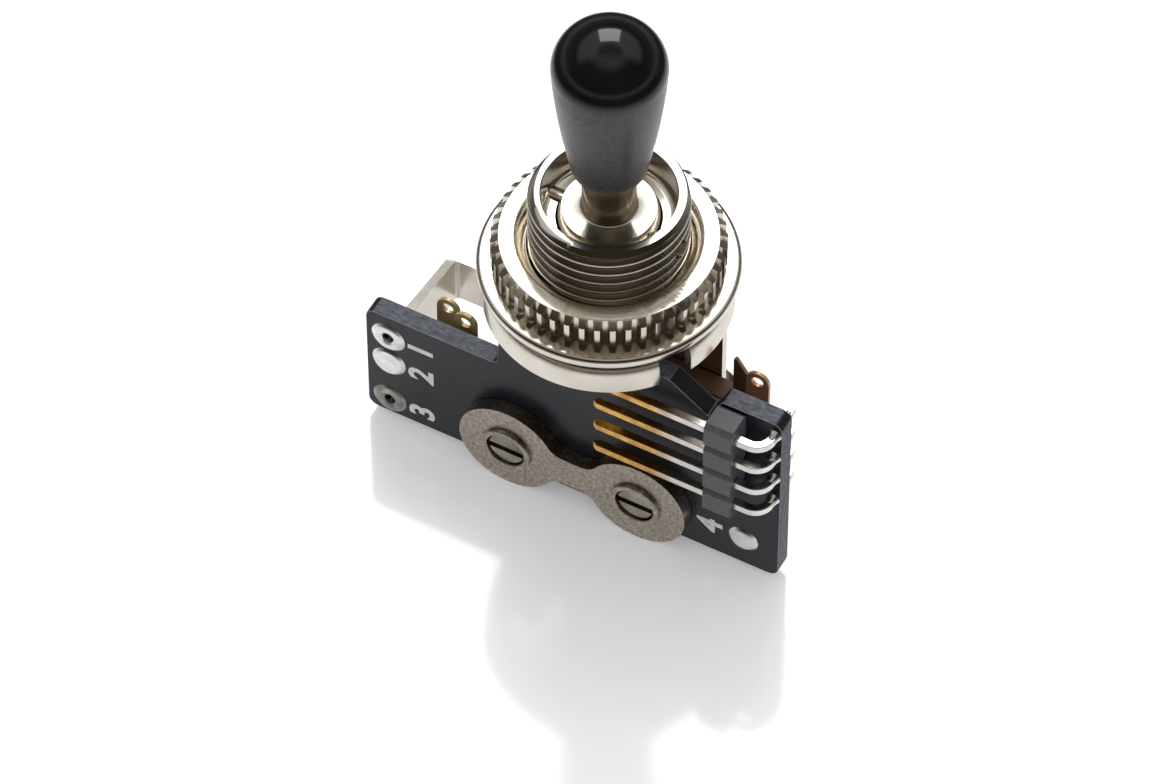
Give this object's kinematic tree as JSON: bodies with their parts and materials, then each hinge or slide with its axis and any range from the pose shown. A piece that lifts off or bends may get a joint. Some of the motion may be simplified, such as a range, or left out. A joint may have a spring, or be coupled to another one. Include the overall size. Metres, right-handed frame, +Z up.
{
  "type": "guitar pickup selector switch",
  "caption": "Three-way toggle with a black tip, threaded bushing, knurled nut, folded frame, leaf contacts and a small circuit board with a pin header.",
  "frame": {"origin": "under the bushing's axis, on the surface that the clamped stack stands on", "axes": "+Z up along the lever at rest, the circuit board's front faces -Y, +X runs along the board towards its pin header"},
  "size_m": [0.0351, 0.0196, 0.0488],
  "materials": {
    "nickel": "polished nickel plate",
    "satin_nickel": "brushed, warm grey nickel plate",
    "gloss_black": "glossy black moulding",
    "nylon": "natural nylon",
    "fibre_board": "dark brown laminated fibre",
    "leaf_brass": "rolled spring brass",
    "leaf_copper": "rolled copper alloy",
    "contact_silver": "satin silver and solder",
    "board_black": "black solder mask on laminate",
    "header_black": "moulded black plastic",
    "pin_gold": "gold plate"
  },
  "bodies": {
    "root": {"pivot_pin": "nickel", "threaded_bushing": "nickel", "knurled_nut": "nickel", "dress_washer": "nickel", "frame": "nickel", "clamp_plate": "satin_nickel", "stack_screw_left": "nickel", "stack_screw_right": "nickel", "screw_tube_left": "nylon", "screw_tube_right": "nylon", "centre_spacer": "fibre_board", "wafer_front_inner": "fibre_board", "wafer_front_outer": "fibre_board", "wafer_rear_inner": "fibre_board", "wafer_rear_outer": "fibre_board", "rear_block": "fibre_board", "short_leaf_front": "leaf_brass", "short_leaf_rear": "leaf_copper", "long_leaf_front": "leaf_brass", "long_leaf_rear": "nickel", "contact_short_front": "contact_silver", "contact_long_front": "contact_silver", "contact_short_rear": "contact_silver", "contact_long_rear": "contact_silver", "circuit_board": "board_black", "solder_pad_1": "contact_silver", "solder_pad_2": "contact_silver", "solder_pad_3": "contact_silver", "solder_pad_4": "contact_silver", "header_body": "header_black", "header_pin_1": "pin_gold", "header_pin_2": "pin_gold", "header_pin_3": "pin_gold", "header_pin_4": "pin_gold"},
    "lever": {"toggle_tip": "gloss_black", "toggle_lever": "nickel", "lever_foot_sleeve": "nylon"}
  },
  "joints": [
    {"name": "toggle_tilt", "type": "hinge", "parent": "root", "child": "lever", "pos_m": [0, 0, 0.028], "axis": [1, 0, 0], "range_deg": [-12, 12], "deforming": ["long_leaf_front", "long_leaf_rear"]}
  ]
}
